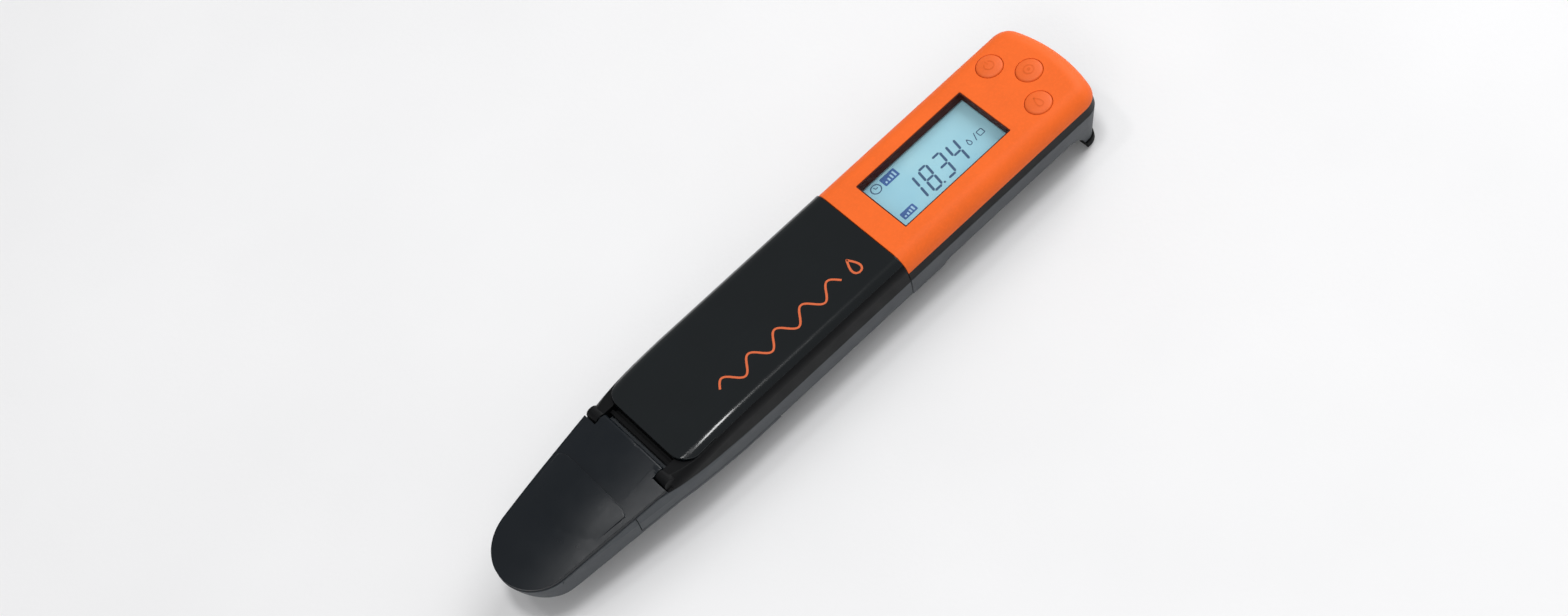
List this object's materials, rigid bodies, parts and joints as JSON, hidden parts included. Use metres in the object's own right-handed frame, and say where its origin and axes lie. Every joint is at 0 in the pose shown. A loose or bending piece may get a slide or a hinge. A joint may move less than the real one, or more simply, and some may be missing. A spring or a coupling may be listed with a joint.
{
  "type": "pocket ph meter",
  "caption": "Pocket flat-sensor meter: orange display unit with keys, plug-on black sensor, hinged light shield and pull-off guard.",
  "frame": {"origin": "middle of the bottom of the bounding box, on the plane of symmetry at the level of the rubber foot", "axes": "+X from the sensor tip to the key end, +Y to the far side of the display, +Z out of the display face"},
  "size_m": [0.1638, 0.029, 0.0205],
  "materials": {
    "orange_plastic": "fine satin, bright orange ABS",
    "orange_key": "fine satin, same orange as the case",
    "orange_rubber": "matt moulded silicone",
    "black_plastic": "satin moulded black",
    "black_gloss": "polished black with a soft clear shine",
    "black_satin": "finely grained blue-black",
    "grey_plastic": "matt moulded dark grey",
    "white_plastic": "fine satin white",
    "electrode_black": "platinised, dull black",
    "gold_contact": "thin gold plating",
    "lead_film": "amber polyimide film",
    "circuit_board": "green solder mask",
    "chip_black": "moulded epoxy",
    "switch_black": "satin",
    "seal_rubber": "smooth",
    "zebra_rubber": "striped elastomer",
    "foot_rubber": "soft matt",
    "steel_screw": "turned",
    "spring_steel": "stamped strip",
    "cell_steel": "drawn can",
    "clear_window": "clear polished acrylic",
    "lcd": "pale blue reflective liquid crystal panel",
    "diffuser": "frosted white"
  },
  "bodies": {
    "meter": {"top_case": "orange_plastic", "middle_frame": "black_plastic", "lower_case": "grey_plastic", "foot": "foot_rubber", "case_screws": "steel_screw", "display_window": "clear_window", "lcd_glass": "lcd", "lcd_backlight": "diffuser", "connector_strips": "zebra_rubber", "keypad_mat": "orange_rubber", "tact_switches": "switch_black", "main_board": "circuit_board", "board_components": "chip_black", "battery_holder": "black_plastic", "coin_cells": "cell_steel", "battery_contacts": "spring_steel", "plug_seal": "seal_rubber", "contact_pins": "gold_contact"},
    "sensor": {"gloss_cover": "black_gloss", "sensor_frame": "black_plastic", "sensor_hull": "grey_plastic", "sensor_plate": "white_plastic", "electrodes": "electrode_black", "temperature_sensor": "gold_contact", "sensor_lead": "lead_film", "lead_ribbon": "lead_film", "contact_board": "circuit_board", "contact_pads": "gold_contact", "board_rails": "grey_plastic", "hinge_pins": "steel_screw"},
    "lid": {"light_shield": "black_satin"},
    "guard": {"sensor_guard": "grey_plastic"},
    "battery_hatch": {"battery_door": "grey_plastic", "battery_seal": "seal_rubber"},
    "power_button": {"key_power": "orange_key"},
    "cal_button": {"key_cal": "orange_key"},
    "measure_button": {"key_measure": "orange_key"}
  },
  "joints": [
    {"name": "sensor_pull", "type": "slide", "parent": "meter", "child": "sensor", "axis": [-1, 0, 0], "range_m": [0, 0.025]},
    {"name": "lid_hinge", "type": "hinge", "parent": "sensor", "child": "lid", "pos_m": [-0.044, 0, 0.01675], "axis": [0, 1, 0], "range_deg": [0, 110]},
    {"name": "guard_pull", "type": "slide", "parent": "sensor", "child": "guard", "axis": [-0.9936, 0, -0.1132], "range_m": [0, 0.034]},
    {"name": "hatch_drop", "type": "slide", "parent": "meter", "child": "battery_hatch", "axis": [0, 0, -1], "range_m": [0, 0.007]},
    {"name": "power_press", "type": "slide", "parent": "meter", "child": "power_button", "axis": [0, 0, -1], "range_m": [0, 0.0004], "stiffness_N_per_m": 400, "springref_m": -0.0005},
    {"name": "cal_press", "type": "slide", "parent": "meter", "child": "cal_button", "axis": [0, 0, -1], "range_m": [0, 0.0004], "stiffness_N_per_m": 400, "springref_m": -0.0005},
    {"name": "measure_press", "type": "slide", "parent": "meter", "child": "measure_button", "axis": [0, 0, -1], "range_m": [0, 0.0004], "stiffness_N_per_m": 400, "springref_m": -0.0005}
  ]
}
